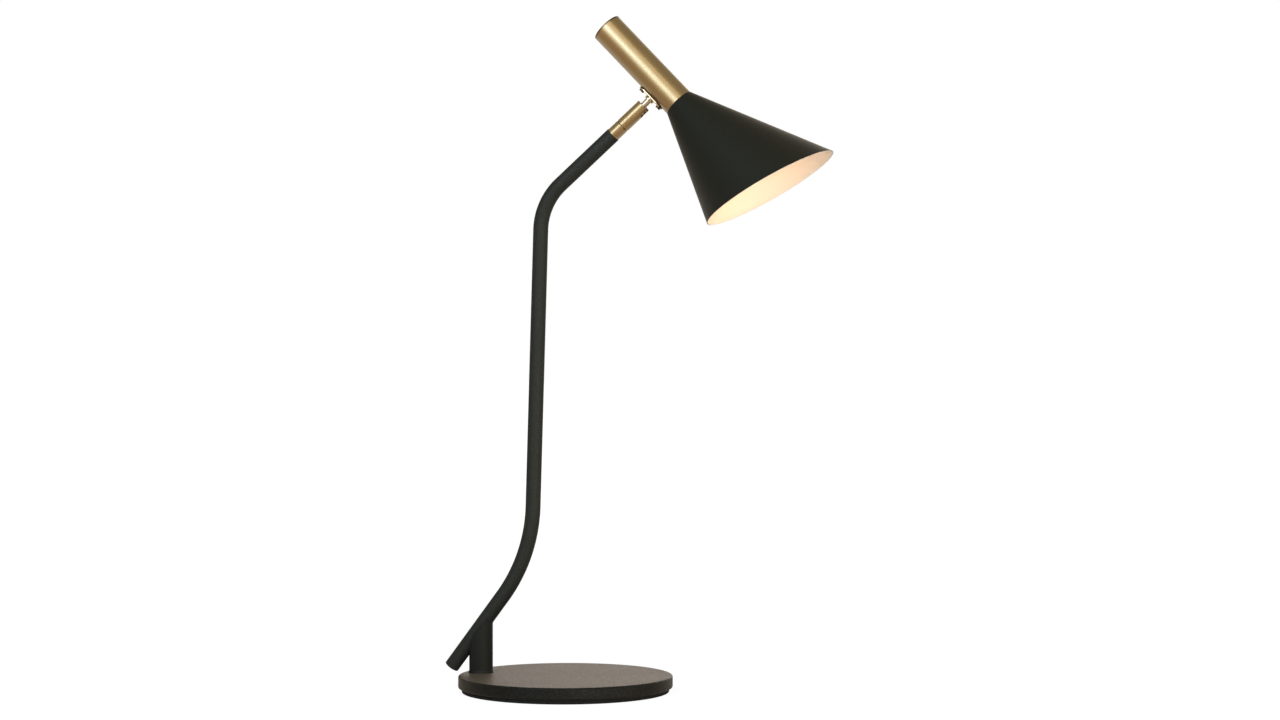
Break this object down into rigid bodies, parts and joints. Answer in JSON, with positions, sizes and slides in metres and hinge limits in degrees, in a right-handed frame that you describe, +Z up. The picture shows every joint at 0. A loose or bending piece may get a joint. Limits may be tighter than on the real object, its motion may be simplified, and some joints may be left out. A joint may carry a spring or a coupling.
{
  "type": "table lamp",
  "caption": "Desk lamp with a round weighted base, a bent tube arm on a mitred post, a slotted ball swivel, and a tube head with a conical shade cut at a slant.",
  "frame": {"origin": "middle of the pad's underside, where the lamp rests on a surface", "axes": "+Z up, +X from the arm towards the shade, +Y to the left when looking along +X; the lamp is symmetric about the plane y = 0"},
  "size_m": [0.3327, 0.18, 0.5651],
  "materials": {
    "base_paint": "matte",
    "arm_paint": "matte",
    "shade_paint": "matte",
    "satin_brass": "satin",
    "contact_brass": "polished",
    "pale_brass": "polished",
    "browned_steel": "satin",
    "nickel": "satin",
    "zinc_steel": "satin",
    "black_plastic": "matte",
    "white_plastic": "matte",
    "pad_rubber": "matte",
    "opal_glass": "satin"
  },
  "bodies": {
    "stand": {"base_disc": "base_paint", "base_pad": "pad_rubber", "post": "arm_paint", "post_bolt": "zinc_steel", "post_washer": "zinc_steel", "arm_tube": "arm_paint", "arm_end_bush": "black_plastic", "arm_insert": "zinc_steel", "arm_ferrule": "satin_brass", "turn_stop_pin": "zinc_steel", "collar_snap_ring": "zinc_steel"},
    "collar": {"swivel_collar": "satin_brass", "ball_seat": "white_plastic", "ball_spring": "zinc_steel", "spring_retainer": "satin_brass"},
    "head": {"swivel_ball": "nickel", "stem_ring": "nickel", "stem_nut": "zinc_steel", "saddle_plate": "pale_brass", "saddle_screws": "browned_steel", "head_tube": "satin_brass", "tube_cap": "satin_brass", "shade": "shade_paint", "holder_bracket": "zinc_steel", "holder_nipple": "zinc_steel", "nipple_nut": "zinc_steel", "lampholder_cap": "black_plastic", "lampholder_skirt": "black_plastic", "socket_shell": "contact_brass", "socket_contact": "contact_brass", "bulb_contact": "black_plastic", "bulb_cap": "nickel", "bulb_glass": "opal_glass"}
  },
  "joints": [
    {"name": "collar_turn", "type": "hinge", "parent": "stand", "child": "collar", "pos_m": [0.06405, 0, 0.48636], "axis": [0.7465, 0, 0.6654], "range_deg": [-165, 165]},
    {"name": "head_tilt", "type": "hinge", "parent": "collar", "child": "head", "pos_m": [0.06405, 0, 0.48636], "axis": [0, 1, 0], "range_deg": [0, 72]}
  ]
}
